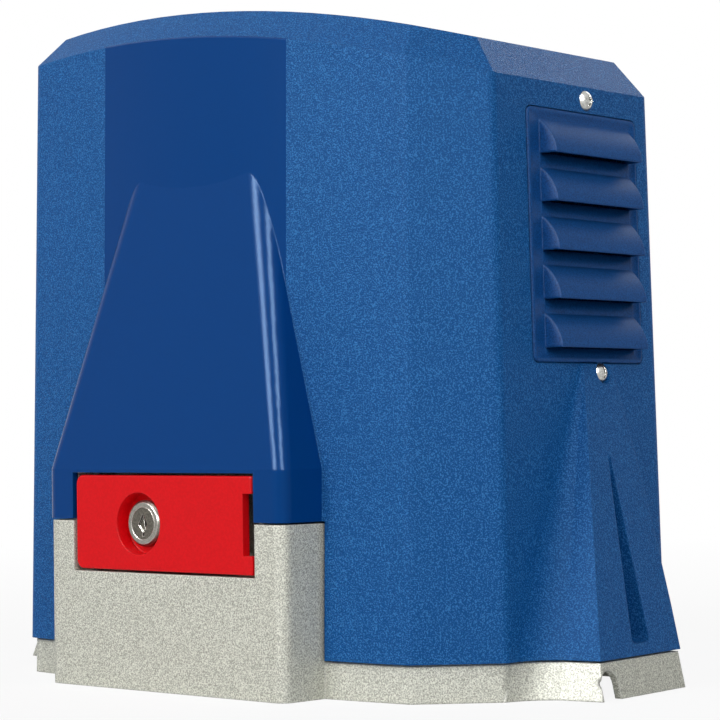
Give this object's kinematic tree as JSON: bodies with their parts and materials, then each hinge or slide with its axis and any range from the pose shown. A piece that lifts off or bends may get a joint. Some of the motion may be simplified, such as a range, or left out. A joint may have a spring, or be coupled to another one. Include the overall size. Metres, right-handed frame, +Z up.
{
  "type": "sliding gate motor",
  "caption": "Sliding gate motor with cast base, moulded cover with hood and side feet, louvred vent, key release door and rack pinion.",
  "frame": {"origin": "middle of the cover's plan on the mounting face under the base", "axes": "+Z up, -Y the front with the release door, +Y the gate side with the pinion, +X the side with the air vent"},
  "size_m": [0.348, 0.2505, 0.301],
  "materials": {
    "cast_aluminium": "bead blasted",
    "blue_plastic": "fine spark grain, gloss on the hood",
    "vent_plastic": "fine grain",
    "red_plastic": "satin",
    "plated_steel": "bright",
    "steel": "machined",
    "lamination_steel": "varnished",
    "gearbox_casting": "as cast",
    "copper": "enamelled winding",
    "bronze": "machined",
    "black_plastic": "fine",
    "grey_plastic": "fine",
    "board_green": "solder mask",
    "terminal_green": "moulded",
    "rubber": "matt"
  },
  "bodies": {
    "frame": {"base_casting": "cast_aluminium", "cover": "blue_plastic", "vent_grille": "vent_plastic", "vent_screws": "plated_steel", "cover_screws": "plated_steel", "door_hinge_pin": "steel", "gearbox_housing": "gearbox_casting", "gearbox_cover": "gearbox_casting", "gearbox_cover_screws": "steel", "gearbox_bolts": "steel", "oil_plug": "steel", "motor_housing": "gearbox_casting", "stator_core": "lamination_steel", "stator_windings": "copper", "motor_end_cap": "gearbox_casting", "end_cap_screws": "steel", "motor_bolts": "steel", "rotor_bearings": "steel", "output_bearings": "steel", "shaft_seal": "rubber", "limit_bracket": "steel", "bracket_screws": "steel", "limit_switch": "black_plastic", "board_bracket": "steel", "board_tray": "grey_plastic", "control_board": "board_green", "board_screws": "steel", "terminal_blocks": "terminal_green", "relays": "black_plastic", "transformer_core": "lamination_steel", "transformer_coil": "copper", "capacitor": "black_plastic", "capacitor_clamp": "steel", "cable_grommet": "rubber", "earth_screw": "plated_steel", "levelling_screws": "steel"},
    "release_door": {"release_door": "red_plastic", "lock_barrel": "plated_steel", "lock_nut": "steel"},
    "lock_plug": {"lock_plug": "plated_steel", "lock_cam": "steel"},
    "release_plunger": {"release_plunger": "steel"},
    "rotor": {"motor_shaft": "steel", "rotor_core": "lamination_steel"},
    "output": {"worm_wheel": "bronze", "wheel_hub": "steel", "output_shaft": "steel", "drive_pinion": "steel", "pinion_key": "steel", "pinion_washer": "plated_steel", "pinion_bolt": "plated_steel"},
    "limit_lever": {"limit_lever": "steel"}
  },
  "joints": [
    {"name": "rotor_spin", "type": "hinge", "parent": "frame", "child": "rotor", "pos_m": [-0.057, 0, 0.18], "axis": [0, 0, 1], "continuous": true},
    {"name": "output_spin", "type": "hinge", "parent": "frame", "child": "output", "pos_m": [0, 0.05, 0.072], "axis": [0, 1, 0], "continuous": true},
    {"name": "release_door_hinge", "type": "hinge", "parent": "frame", "child": "release_door", "pos_m": [-0.046, -0.1075, 0.0727], "axis": [0, 0, -1], "range_deg": [0, 90]},
    {"name": "plunger_slide", "type": "slide", "parent": "frame", "child": "release_plunger", "axis": [0, -1, 0], "range_m": [0, 0.006]},
    {"name": "lock_turn", "type": "hinge", "parent": "release_door", "child": "lock_plug", "pos_m": [-0.0147, -0.1, 0.0724], "axis": [0, 1, 0], "range_deg": [0, 90]},
    {"name": "limit_lever_swing", "type": "hinge", "parent": "frame", "child": "limit_lever", "pos_m": [0, 0.064, 0.134], "axis": [0, 0, 1], "range_deg": [-25, 25], "stiffness_Nm_per_rad": 0.05}
  ],
  "couplings": [
    {"joint": "output_spin", "follows": "rotor_spin", "ratio": -0.033333},
    {"joint": "plunger_slide", "follows": "release_door_hinge", "m_per_rad": 0.0038}
  ]
}
